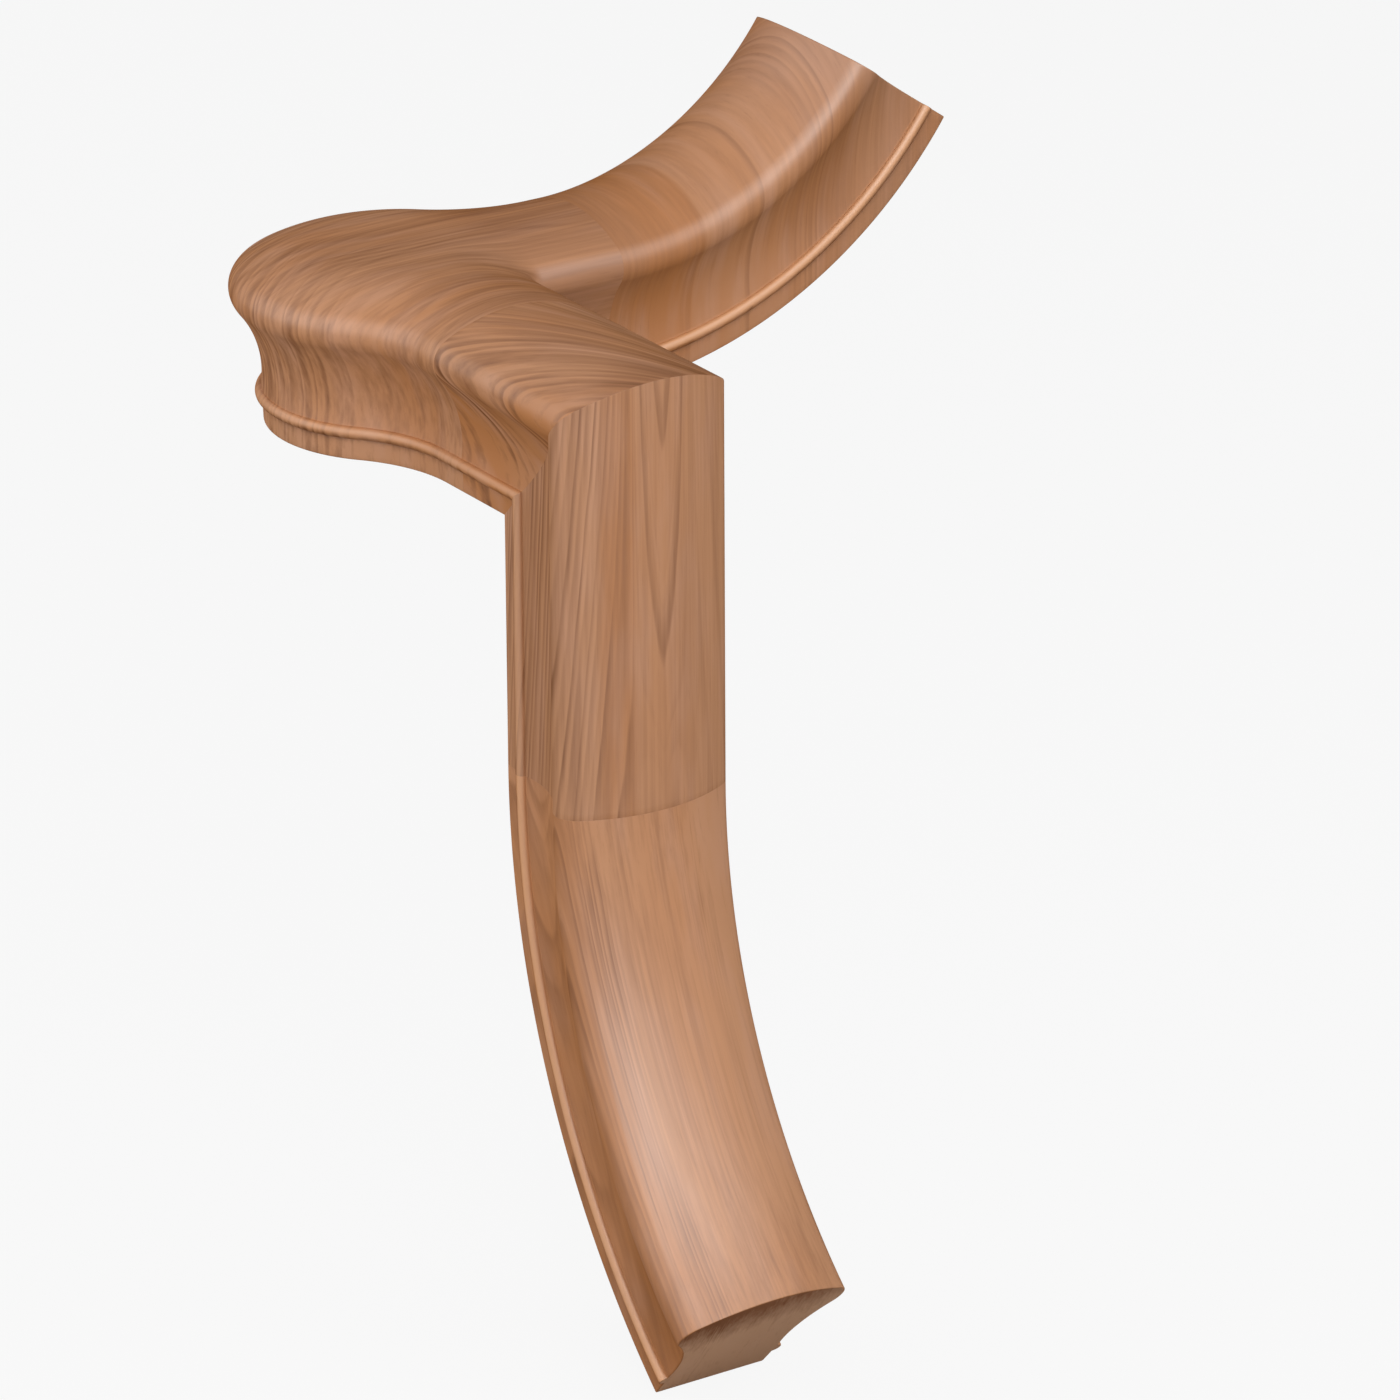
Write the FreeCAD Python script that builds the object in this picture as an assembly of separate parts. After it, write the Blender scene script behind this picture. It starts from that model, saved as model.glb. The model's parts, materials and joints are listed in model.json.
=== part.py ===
import FreeCAD, Part
import math
import os

from FreeCAD import Vector

# Quarter-turn gooseneck for a moulded wooden handrail, in millimetres.
# The Z axis is the axis of the newel post under the round cap, and Z = 0 is the underside that sits on the post.
# The level rail leaves the cap along +X and turns down into the drop; the upper easing leaves it along +Y.

# Rail section
rail_width = 66.7
rail_height = 63.5
crown_radius = 60.0
nose_radius = 8.5
neck_width = 45.0
neck_height = 18.0
lip_width = 50.0
lip_height = 10.3
lip_thickness = 4.6
lip_front = 1.2
quirk_width = 45.0
base_width = 44.4

# Newel cap and the sweeps that lead from its rim into the rails
cap_diameter = 116.7
sweep_radius = 42.7
crotch_radius = 6.0
rail_stub = 11.4
easing_stub = 5.6

# Level rail, drop and easings; an easing's radius is that of its crown
level_rail_length = 25.5
drop_length = 91.0
lower_easing_radius = 209.4
lower_easing_angle = 47.9
upper_easing_radius = 112.0
upper_easing_angle = 54.9

# Bore for the pin on top of the newel post
newel_pin_diameter = 19.05
newel_pin_clearance = 0.45
newel_bore_depth = 28.0

# Dowel pins glued into the joints, with the heights of each pair above the base of the section
dowel_diameter = 9.5
dowel_length = 38.0
dowel_chamfer = 0.8
dowel_side_clearance = 0.05
dowel_end_clearance = 0.5
dowel_low_height = 17.0
dowel_high_height = 41.0
mitre_dowel_low_height = 15.0
mitre_dowel_high_height = 37.0

# Length by which cutting tools overrun the wood
overrun = 10.0

# Places that follow from the sizes above
half_width = rail_width / 2
cap_radius = cap_diameter / 2
sweep_offset = half_width + sweep_radius
sweep_reach = math.sqrt((cap_radius + sweep_radius) ** 2 - sweep_offset ** 2)
sweep_turn = math.degrees(math.atan2(sweep_reach, sweep_offset))
crotch_offset = half_width + crotch_radius
rail_joint_x = sweep_reach + rail_stub
easing_joint_y = sweep_reach + easing_stub
mitre_x = rail_joint_x + level_rail_length
crown_reach = mitre_x + rail_height
drop_joint_z = -drop_length
up = Vector(0, 0, 1)


def section_points():
    """Corners and arc points of one half of the rail section, as (u, v): u outwards, v up from the base.

    The crown arc runs into the nose arc, and the nose arc into the cove, without a corner."""
    nose_u = half_width - nose_radius
    nose_v = rail_height - crown_radius + math.sqrt((crown_radius - nose_radius) ** 2 - nose_u ** 2)
    neck_u = neck_width / 2
    inset = nose_u - neck_u
    rise = nose_v - neck_height
    cove_radius = (inset ** 2 + rise ** 2 - nose_radius ** 2) / (2 * (nose_radius + inset))
    cove_u = neck_u + cove_radius
    crown_v = rail_height - crown_radius
    crown_end = math.atan2(nose_v - crown_v, nose_u)
    crown_mid = (crown_end + math.pi / 2) / 2
    cove_start = math.atan2(neck_height - nose_v, cove_u - nose_u)
    nose_mid = (crown_end + cove_start) / 2
    lip_top = lip_height + lip_thickness / 2
    lip_bottom = lip_height - lip_thickness / 2
    lip_root = cove_u - math.sqrt(cove_radius ** 2 - (neck_height - lip_top) ** 2)

    def on_crown(angle):
        return crown_radius * math.cos(angle), crown_v + crown_radius * math.sin(angle)

    def on_nose(angle):
        return nose_u + nose_radius * math.cos(angle), nose_v + nose_radius * math.sin(angle)

    return {
        "crown_top": (0, rail_height),
        "crown_mid": on_crown(crown_mid),
        "crown_end": on_crown(crown_end),
        "nose_mid": on_nose(nose_mid),
        "nose_end": on_nose(cove_start),
        "neck": (neck_u, neck_height),
        "lip_top": (lip_root, lip_top),
        "lip_front_top": (lip_width / 2, lip_height + lip_front / 2),
        "lip_front_bottom": (lip_width / 2, lip_height - lip_front / 2),
        "lip_bottom": (lip_root, lip_bottom),
        "quirk": (quirk_width / 2, lip_bottom),
        "base": (base_width / 2, 0),
    }


def half_section_edges(place, side):
    """Edges of one half of the section from the crown's middle down to the base; side is 1 or -1."""
    points = {name: place(side * u, v) for name, (u, v) in section_points().items()}
    arcs = (
        ("crown_top", "crown_mid", "crown_end"),
        ("crown_end", "nose_mid", "nose_end"),
        ("nose_end", "neck", "lip_top"),
    )
    corners = ("lip_top", "lip_front_top", "lip_front_bottom", "lip_bottom", "quirk", "base")
    edges = [Part.Arc(points[a], points[b], points[c]).toShape() for a, b, c in arcs]
    edges += [Part.LineSegment(points[a], points[b]).toShape() for a, b in zip(corners, corners[1:])]
    return edges


def face_of(edges):
    """Flat face inside a closed chain of edges."""
    return Part.Face(Part.Wire(Part.sortEdges(edges)[0]))


def section_face(place):
    """The whole rail section, laid out in space by place(u, v)."""
    base_line = Part.LineSegment(place(base_width / 2, 0), place(-base_width / 2, 0)).toShape()
    return face_of(half_section_edges(place, 1) + half_section_edges(place, -1) + [base_line])


def half_section_face(place):
    """The half of the rail section with u from 0 to the nose, closed along the middle of the rail."""
    base_line = Part.LineSegment(place(base_width / 2, 0), place(0, 0)).toShape()
    middle_line = Part.LineSegment(place(0, 0), place(0, rail_height)).toShape()
    return face_of(half_section_edges(place, 1) + [base_line, middle_line])


def cap_core():
    """Flat-topped middle of the cap, inside the strip that carries the moulding round its edge."""
    rim_radius = cap_radius - half_width
    rim_start = math.radians(sweep_turn - 90)
    rim_end = math.radians(180 - sweep_turn)
    rim_mid = math.radians(-135)

    def around(centre_x, centre_y, radius, angle):
        return Vector(centre_x + radius * math.cos(angle), centre_y + radius * math.sin(angle), 0)

    rim_a = around(0, 0, rim_radius, rim_start)
    rim_b = around(0, 0, rim_radius, rim_end)
    half_turn = math.radians(sweep_turn / 2)
    sweep_a_mid = around(sweep_reach, -sweep_offset, sweep_offset, math.pi / 2 + half_turn)
    sweep_b_mid = around(-sweep_offset, sweep_reach, sweep_offset, -half_turn)
    crotch_mid = around(crotch_offset, crotch_offset, crotch_offset, math.radians(-135))
    rail_start = Vector(sweep_reach, 0, 0)
    easing_start = Vector(0, sweep_reach, 0)
    crotch_a = Vector(crotch_offset, 0, 0)
    crotch_b = Vector(0, crotch_offset, 0)
    outline = [
        Part.Arc(rim_a, around(0, 0, rim_radius, rim_mid), rim_b).toShape(),
        Part.Arc(rim_b, sweep_b_mid, easing_start).toShape(),
        Part.LineSegment(easing_start, crotch_b).toShape(),
        Part.Arc(crotch_b, crotch_mid, crotch_a).toShape(),
        Part.LineSegment(crotch_a, rail_start).toShape(),
        Part.Arc(rail_start, sweep_a_mid, rim_a).toShape(),
    ]
    return face_of(outline).extrude(up * rail_height)


def cap_edge_strips():
    """The moulding carried round the plan of the cap: rim, two sweeps, crotch and four straight stubs."""
    rim_radius = cap_radius - half_width
    rim_start = sweep_turn - 90
    rim_turn = 90 + 2 * sweep_turn
    along = Vector(math.cos(math.radians(rim_start)), math.sin(math.radians(rim_start)), 0)

    rim = half_section_face(lambda u, v: along * (rim_radius + u) + up * v)
    rail_sweep = half_section_face(lambda u, v: Vector(sweep_reach, -u, v))
    easing_sweep = half_section_face(lambda u, v: Vector(-u, sweep_reach, v))
    rail_inner = half_section_face(lambda u, v: Vector(crotch_offset, u, v))
    easing_inner = half_section_face(lambda u, v: Vector(u, crotch_offset, v))
    return [
        rim.revolve(Vector(0, 0, 0), up, -rim_turn),
        rail_sweep.revolve(Vector(sweep_reach, -sweep_offset, 0), up, sweep_turn),
        easing_sweep.revolve(Vector(-sweep_offset, sweep_reach, 0), up, -sweep_turn),
        rail_inner.revolve(Vector(crotch_offset, crotch_offset, 0), up, -90),
        rail_sweep.extrude(Vector(rail_stub, 0, 0)),
        easing_sweep.extrude(Vector(0, easing_stub, 0)),
        rail_inner.extrude(Vector(rail_joint_x - crotch_offset, 0, 0)),
        easing_inner.extrude(Vector(0, easing_joint_y - crotch_offset, 0)),
    ]


def newel_bore():
    """Blind bore in the underside of the cap for the pin of the newel post."""
    radius = (newel_pin_diameter + newel_pin_clearance) / 2
    return Part.makeCylinder(radius, newel_bore_depth + overrun, Vector(0, 0, -overrun), up)


def mitre_waste(corner_x, corner_z):
    """Wedge on one side of the mitre plane; the corner says on which side the third edge lies."""
    low = Vector(mitre_x - overrun, -rail_width, -overrun)
    high = Vector(crown_reach + overrun, -rail_width, rail_height + overrun)
    corner = Vector(corner_x, -rail_width, corner_z)
    wedge = Part.Face(Part.makePolygon([low, high, corner, low]))
    return wedge.extrude(Vector(0, 2 * rail_width, 0))


def level_rail():
    """Short level rail from the cap, cut at 45 degrees where it turns down."""
    face = section_face(lambda u, v: Vector(rail_joint_x, u, v))
    rail = face.extrude(Vector(crown_reach + overrun - rail_joint_x, 0, 0))
    return rail.cut(mitre_waste(crown_reach + overrun, -overrun))


def drop_rail():
    """Upright rail below the mitre, crown outwards."""
    face = section_face(lambda u, v: Vector(mitre_x + v, u, drop_joint_z))
    rail = face.extrude(up * (rail_height + overrun + drop_length))
    return rail.cut(mitre_waste(mitre_x - overrun, rail_height + overrun))


def lower_easing():
    """Easing that turns the drop outwards to the pitch of the lower stair; its crown is on the hollow side."""
    face = section_face(lambda u, v: Vector(mitre_x + v, u, drop_joint_z))
    centre = Vector(crown_reach + lower_easing_radius, 0, drop_joint_z)
    return face.revolve(centre, Vector(0, -1, 0), lower_easing_angle)


def upper_easing():
    """Easing that lifts the rail behind the cap to the pitch of the upper stair."""
    face = section_face(lambda u, v: Vector(u, easing_joint_y, v))
    centre = Vector(0, easing_joint_y, rail_height + upper_easing_radius)
    return face.revolve(centre, Vector(1, 0, 0), upper_easing_angle)


def dowel_seats():
    """Middle and direction of every dowel pin, by joint."""
    heights = (dowel_low_height, dowel_high_height)
    mitre_heights = (mitre_dowel_low_height, mitre_dowel_high_height)
    mitre_normal = Vector(1, 0, -1).normalize()
    return {
        "cap_rail_dowels": [(Vector(rail_joint_x, 0, v), Vector(1, 0, 0)) for v in heights],
        "cap_easing_dowels": [(Vector(0, easing_joint_y, v), Vector(0, 1, 0)) for v in heights],
        "mitre_dowels": [(Vector(mitre_x + v, 0, v), mitre_normal) for v in mitre_heights],
        "drop_dowels": [(Vector(mitre_x + v, 0, drop_joint_z), up) for v in heights],
    }


def dowel_pin(middle, direction):
    """Round pin with chamfered ends, half of it on each side of the joint."""
    start = middle - direction * (dowel_length / 2)
    radius = dowel_diameter / 2
    pin = Part.makeCylinder(radius, dowel_length, start, direction)
    rims = [edge for edge in pin.Edges if isinstance(edge.Curve, Part.Circle)]
    return pin.makeChamfer(dowel_chamfer, rims)


def dowel_hole(middle, direction):
    """Space bored for one pin in the two rails that it joins."""
    length = dowel_length + 2 * dowel_end_clearance
    start = middle - direction * (length / 2)
    return Part.makeCylinder(dowel_diameter / 2 + dowel_side_clearance, length, start, direction)


def bored(wood, seats, joints):
    """The wood with the holes of the named joints bored into it."""
    holes = [dowel_hole(*seat) for joint in joints for seat in seats[joint]]
    return wood.cut(holes)


def build():
    """Every piece of the fitting by name."""
    seats = dowel_seats()
    cap = cap_core().fuse(cap_edge_strips()).removeSplitter().cut(newel_bore())
    pieces = {
        "newel_cap": bored(cap, seats, ("cap_rail_dowels", "cap_easing_dowels")),
        "level_rail": bored(level_rail().removeSplitter(), seats, ("cap_rail_dowels", "mitre_dowels")),
        "drop_rail": bored(drop_rail().removeSplitter(), seats, ("mitre_dowels", "drop_dowels")),
        "lower_easing": bored(lower_easing().removeSplitter(), seats, ("drop_dowels",)),
        "upper_easing": bored(upper_easing().removeSplitter(), seats, ("cap_easing_dowels",)),
    }
    for joint, pins in seats.items():
        pieces[joint] = Part.makeCompound([dowel_pin(*pin) for pin in pins])
    return pieces


os.makedirs("parts", exist_ok=True)
for node, shape in build().items():
    solids = shape.Solids
    piece = solids[0] if len(solids) == 1 else Part.makeCompound(solids)
    piece.exportStep(os.path.join("parts", node + ".step"))
    box = piece.BoundBox
    print(node, len(solids), "solids, valid", piece.isValid(), "volume", round(piece.Volume, 1),
          "box", [round(value, 2) for value in (box.XMin, box.YMin, box.ZMin, box.XMax, box.YMax, box.ZMax)])
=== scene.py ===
import json
import math
from typing import NamedTuple

import bmesh
import bpy
import numpy as np
from bpy.props import FloatProperty, FloatVectorProperty, PointerProperty
from mathutils import Matrix, Vector


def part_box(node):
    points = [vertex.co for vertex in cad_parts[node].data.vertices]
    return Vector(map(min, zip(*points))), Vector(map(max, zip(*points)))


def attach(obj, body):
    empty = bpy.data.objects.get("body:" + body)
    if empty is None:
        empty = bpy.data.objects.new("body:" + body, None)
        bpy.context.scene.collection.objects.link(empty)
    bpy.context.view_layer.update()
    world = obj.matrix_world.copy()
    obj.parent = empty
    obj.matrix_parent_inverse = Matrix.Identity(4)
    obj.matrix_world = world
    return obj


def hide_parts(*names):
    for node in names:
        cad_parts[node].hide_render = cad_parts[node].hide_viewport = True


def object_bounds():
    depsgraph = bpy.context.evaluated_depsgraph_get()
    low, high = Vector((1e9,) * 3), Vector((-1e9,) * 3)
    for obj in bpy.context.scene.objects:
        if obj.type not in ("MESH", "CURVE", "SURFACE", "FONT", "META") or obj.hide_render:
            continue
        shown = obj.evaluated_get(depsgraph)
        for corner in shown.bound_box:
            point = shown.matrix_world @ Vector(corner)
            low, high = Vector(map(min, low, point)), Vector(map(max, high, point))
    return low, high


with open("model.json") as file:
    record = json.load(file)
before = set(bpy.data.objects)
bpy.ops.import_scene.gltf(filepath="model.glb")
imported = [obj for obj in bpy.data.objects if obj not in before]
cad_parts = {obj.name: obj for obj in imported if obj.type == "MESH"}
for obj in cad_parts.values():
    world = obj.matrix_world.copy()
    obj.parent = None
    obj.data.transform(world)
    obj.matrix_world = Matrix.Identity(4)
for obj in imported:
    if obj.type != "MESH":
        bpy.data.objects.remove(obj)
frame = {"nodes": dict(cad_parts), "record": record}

bl_info = {
    "name": "Handrail gooseneck",
    "version": (1, 0, 0),
    "blender": (4, 5, 0),
    "location": "View3D > Sidebar > Gooseneck",
    "description": "Dresses a glued-up wooden handrail gooseneck in moulded, satin finished hardwood",
    "category": "Add Mesh",
}

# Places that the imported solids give, in metres
CAD_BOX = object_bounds()
MOUNTS = {mount["name"]: mount for mount in frame["record"]["mounts"]}
CAP_LOW, CAP_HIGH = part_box("newel_cap")
LEVEL_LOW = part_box("level_rail")[0]
DROP_LOW, DROP_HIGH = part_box("drop_rail")
LOWER_LOW, LOWER_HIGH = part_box("lower_easing")
UPPER_LOW, UPPER_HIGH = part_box("upper_easing")
RAIL_WIDTH = DROP_HIGH.y - DROP_LOW.y
RAIL_HEIGHT = CAP_HIGH.z - CAP_LOW.z
LOWER_AXIS = Vector(MOUNTS["lower_rail_end"]["axis"])
UPPER_AXIS = Vector(MOUNTS["upper_rail_end"]["axis"])
LOWER_RADIUS = (LOWER_HIGH.z - LOWER_LOW.z) / LOWER_AXIS.x - RAIL_HEIGHT
UPPER_RADIUS = (UPPER_HIGH.y - UPPER_LOW.y) / UPPER_AXIS.z - RAIL_HEIGHT
BORE = MOUNTS["newel_pin_bore"]["dims"]

MM = 0.001
BODY = "root"

# Points along each stretch of the half section
CROWN_POINTS = 30
NOSE_POINTS = 34
COVE_POINTS = 36
BEAD_POINTS = 19
BASE_POINTS = 6
ARRIS_POINTS = 6

# Stations across an eased edge, and along each stretch of the cap, the rails and the easings
EASE_STATIONS = 3
STUB_STATIONS = 8
SWEEP_STATIONS = 40
RIM_STATIONS = 120
STRAIGHT_STATIONS = 12
CROTCH_STATIONS = 40
LEVEL_STATIONS = 40
DROP_STATIONS = 60
LOWER_STATIONS = 110
UPPER_STATIONS = 90

# Points closer than the first are one, faces thinner than the second vanish, edges sharper than the third
# stay sharp
MERGE_DISTANCE = 1e-6
SLIVER = 1e-7
CREASE = math.radians(20)

# Bevel at the mouth of the pin bore
BORE_LIP = 0.4 * MM

# Marks that every piece stores for its wood
CUT_ACROSS = "cut_across"
SHINE = "shine"
# Painted highlight on the bead's upper half, and painted shade from its lower half into the quirk
BEAD_HIGHLIGHT = "bead_highlight"
QUIRK_SHADE = "quirk"
HEIGHT = "section_height"

# Where the marks rise and fall: heights above the bead's middle in halves of its thickness, then
# |normal . fibre|
# The painted bead highlight first, then the painted quirk shade, then the cut ends
BEAD_HIGHLIGHT_RISE = (-0.3, 0.3)
BEAD_HIGHLIGHT_FALL = (0.8, 1.15)
QUIRK_SHADE_RISE = (-1.9, -1.1)
QUIRK_SHADE_FALL = (-0.6, 0.0)
CUT_RISE = (0.8, 0.97)

# The shine of upright surfaces, how much tops gain, the least shine, and that of cut ends
UPRIGHT_SHINE = 0.6
TOP_SHINE = 1.3
LEAST_SHINE = 0.15
CUT_SHINE = 0.7


class GooseneckSection(bpy.types.PropertyGroup):
    """Sizes of the moulded rail section"""
    width: FloatProperty(name="Width", description="Across the two noses", default=RAIL_WIDTH, unit="LENGTH")
    height: FloatProperty(name="Height", description="From base to crown", default=RAIL_HEIGHT, unit="LENGTH")
    crown_radius: FloatProperty(
        name="Crown radius", description="Radius of the rounded top", default=60 * MM, unit="LENGTH")
    nose_radius: FloatProperty(
        name="Nose radius", description="Radius of the rounded shoulder", default=8.5 * MM, unit="LENGTH")
    neck_width: FloatProperty(
        name="Neck width", description="Across the narrowest part of the coves", default=45 * MM,
        unit="LENGTH")
    neck_height: FloatProperty(
        name="Neck height", description="Height of the narrowest part", default=18 * MM, unit="LENGTH")
    bead_width: FloatProperty(
        name="Bead width", description="Across the two beads under the coves", default=50 * MM, unit="LENGTH")
    bead_height: FloatProperty(
        name="Bead height", description="Height of the middle of the bead", default=10.3 * MM, unit="LENGTH")
    bead_thickness: FloatProperty(
        name="Bead thickness", description="Thickness of the bead", default=4.6 * MM, unit="LENGTH")
    quirk_width: FloatProperty(
        name="Quirk width", description="Across the groove under the bead", default=45 * MM, unit="LENGTH")
    base_width: FloatProperty(
        name="Base width", description="Across the flat underside", default=44.4 * MM, unit="LENGTH")
    arris: FloatProperty(
        name="Arris", description="Rounding of the edges of the base", default=0.7 * MM, unit="LENGTH")


class GooseneckPlan(bpy.types.PropertyGroup):
    """Sizes and places of the cap, the rails and the easings"""
    cap_radius: FloatProperty(
        name="Cap radius", description="Radius of the round cap", default=-CAP_LOW.x, unit="LENGTH")
    sweep_radius: FloatProperty(
        name="Sweep radius", description="Radius that leads the rim into a rail", default=42.7 * MM,
        unit="LENGTH")
    crotch_radius: FloatProperty(
        name="Crotch radius", description="Radius between the two rails", default=6 * MM, unit="LENGTH")
    rail_joint: FloatProperty(
        name="Rail joint", description="Where the level rail is glued on", default=LEVEL_LOW.x, unit="LENGTH")
    easing_joint: FloatProperty(
        name="Easing joint", description="Where the upper easing is glued on", default=UPPER_LOW.y,
        unit="LENGTH")
    mitre: FloatProperty(
        name="Mitre", description="Where the mitre starts at the base", default=DROP_LOW.x, unit="LENGTH")
    drop_joint: FloatProperty(
        name="Drop joint", description="Where the lower easing is glued on", default=DROP_LOW.z,
        unit="LENGTH")
    lower_radius: FloatProperty(
        name="Lower radius", description="Crown radius of the lower easing", default=LOWER_RADIUS,
        unit="LENGTH")
    lower_turn: FloatProperty(
        name="Lower turn", description="Angle of the lower easing",
        default=math.atan2(LOWER_AXIS.x, -LOWER_AXIS.z), unit="ROTATION")
    upper_radius: FloatProperty(
        name="Upper radius", description="Crown radius of the upper easing", default=UPPER_RADIUS,
        unit="LENGTH")
    upper_turn: FloatProperty(
        name="Upper turn", description="Angle of the upper easing",
        default=math.atan2(UPPER_AXIS.z, UPPER_AXIS.y), unit="ROTATION")
    seam: FloatProperty(
        name="Seam", description="Easing of the edges at a glued joint", default=0.03 * MM, unit="LENGTH")
    end_arris: FloatProperty(
        name="End arris", description="Easing of the edges at a free end", default=0.4 * MM, unit="LENGTH")


class GooseneckTimber(bpy.types.PropertyGroup):
    """Colours and finish of the wood"""
    early: FloatVectorProperty(
        name="Early wood", description="Pale wood between the growth rings", subtype="COLOR", size=3,
        default=(0.51, 0.25, 0.126))
    late: FloatVectorProperty(
        name="Late wood", description="Dark lines of the growth rings", subtype="COLOR", size=3,
        default=(0.21, 0.082, 0.034))
    warm: FloatVectorProperty(
        name="Warm clouds", description="Tint of the warmer patches", subtype="COLOR", size=3,
        default=(0.465, 0.192, 0.07))
    pale: FloatVectorProperty(
        name="Pale patches", description="Tint of the pale, pinkish patches", subtype="COLOR", size=3,
        default=(0.54, 0.282, 0.17))
    across: FloatVectorProperty(
        name="Cut ends", description="Wood that is cut across the fibre", subtype="COLOR", size=3,
        default=(0.56, 0.345, 0.22))
    # Colour of the painted highlight on the bead's upper half
    bright: FloatVectorProperty(
        name="Rubbed wood", description="Wood that is rubbed bright on the beads", subtype="COLOR", size=3,
        default=(0.7, 0.36, 0.18))
    roughness: FloatProperty(
        name="Roughness", description="Roughness of the satin finish", default=0.36,
        subtype="FACTOR", min=0, max=1)


class GooseneckStage(bpy.types.PropertyGroup):
    """Camera and light"""
    azimuth: FloatProperty(
        name="Azimuth", description="Direction of the camera about Z, from +X", default=math.radians(-33.35),
        unit="ROTATION")
    elevation: FloatProperty(
        name="Elevation", description="Height of the camera above the horizon", default=math.radians(22.23),
        unit="ROTATION")
    roll: FloatProperty(
        name="Roll", description="Turn of the camera about its own axis", default=math.radians(-0.29),
        unit="ROTATION")
    distance: FloatProperty(
        name="Distance", description="From the camera to the point it looks at", default=3.048, unit="LENGTH")
    lens: FloatProperty(name="Lens", description="Focal length in millimetres", default=225.04)
    aim: FloatVectorProperty(
        name="Aim", description="The point that the camera looks at", size=3, subtype="TRANSLATION",
        default=(0.0889, 0.0663, -0.0926))


def arc(centre, radius, start, stop, count):
    """Points on a circle from angle start to stop, as rows of (u, v)."""
    angle = np.linspace(start, stop, count)
    return np.stack([centre[0] + radius * np.cos(angle), centre[1] + radius * np.sin(angle)], axis=1)


def half_section(section):
    """One half of the section from the crown's middle to the edge of the base, as rows of (u, v).

    The crown is a circle about the middle of the rail. The nose circle touches it from inside and touches
    the cove circle from outside. A half-round bead follows, as two quarters of ellipses, then the quirk
    under it and the tapered base."""
    half = section.width / 2
    nose_u = half - section.nose_radius
    crown_v = section.height - section.crown_radius
    nose_v = crown_v + math.sqrt((section.crown_radius - section.nose_radius) ** 2 - nose_u ** 2)
    neck_u = section.neck_width / 2
    inset = nose_u - neck_u
    lift = nose_v - section.neck_height
    cove_radius = (inset ** 2 + lift ** 2 - section.nose_radius ** 2) / (2 * (section.nose_radius + inset))
    cove_u = neck_u + cove_radius
    crown_end = math.atan2(nose_v - crown_v, nose_u)
    cove_start = math.atan2(section.neck_height - nose_v, cove_u - nose_u)
    bead_radius = section.bead_thickness / 2
    bead_top = section.bead_height + bead_radius
    cove_stop = math.asin((section.neck_height - bead_top) / cove_radius)
    bead_u = cove_u - cove_radius * math.cos(cove_stop)
    quirk_u = section.quirk_width / 2
    base_u = section.base_width / 2
    under_bead = section.bead_height - bead_radius
    lean = math.atan2(quirk_u - base_u, under_bead)
    base_arris = section.arris
    bead_turn = np.linspace(math.pi / 2, -math.pi / 2, BEAD_POINTS)
    bead_root = np.where(bead_turn > 0, bead_u, quirk_u)
    bead = np.stack([bead_root + (section.bead_width / 2 - bead_root) * np.cos(bead_turn),
                     section.bead_height + bead_radius * np.sin(bead_turn)], axis=1)
    base_foot = (base_u + base_arris * math.tan(lean), base_arris)
    base_line = np.linspace((quirk_u, under_bead), base_foot, BASE_POINTS)
    pieces = [
        arc((0, crown_v), section.crown_radius, math.pi / 2, crown_end, CROWN_POINTS),
        arc((nose_u, nose_v), section.nose_radius, crown_end, cove_start, NOSE_POINTS)[1:],
        arc((cove_u, section.neck_height), cove_radius, math.pi + cove_start, math.pi + cove_stop,
            COVE_POINTS)[1:],
        bead[1:],
        base_line[1:],
        arc((base_u - base_arris, base_arris), base_arris, 0, -math.pi / 2, ARRIS_POINTS)[1:],
    ]
    return np.concatenate(pieces)


def outward(profile, closed):
    """Unit normals of a profile that runs clockwise, by central differences.

    An open profile starts on the level crown and ends on the level base."""
    if closed:
        along = np.roll(profile, -1, axis=0) - np.roll(profile, 1, axis=0)
    else:
        along = np.gradient(profile, axis=0)
        along[0] = (1, 0)
        along[-1] = (-1, 0)
    along /= np.linalg.norm(along, axis=1, keepdims=True)
    return np.stack([-along[:, 1], along[:, 0]], axis=1)


def whole_section(section):
    """The closed section, clockwise from the crown's middle: one half, the base, the other half mirrored."""
    half = half_section(section)
    mirrored = half[::-1] * (-1, 1)
    return np.concatenate([half, mirrored[:-1]])


def eased(profile, normals, ease):
    """Profiles at the stations of an eased edge, which rounds over a quarter circle of radius ease.

    Gives the profiles and how far each one lies from the end, from the end inwards."""
    angle = np.linspace(0, math.pi / 2, EASE_STATIONS)[:, None, None]
    inset = ease * (1 - np.sin(angle))
    back = ease * (1 - np.cos(angle))
    return profile - inset * normals, back[:, 0, 0]


def grid_faces(rows, columns, first=0, closed=False):
    """Corner numbers of the quads of a grid of rows times columns points.

    closed joins the last column to the first."""
    row = np.arange(rows - 1)[:, None]
    column = np.arange(columns if closed else columns - 1)[None, :]
    follow = (column + 1) % columns
    corners = [row * columns + column, row * columns + follow,
               (row + 1) * columns + follow, (row + 1) * columns + column]
    return first + np.stack(corners, axis=-1).reshape(-1, 4)


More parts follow.
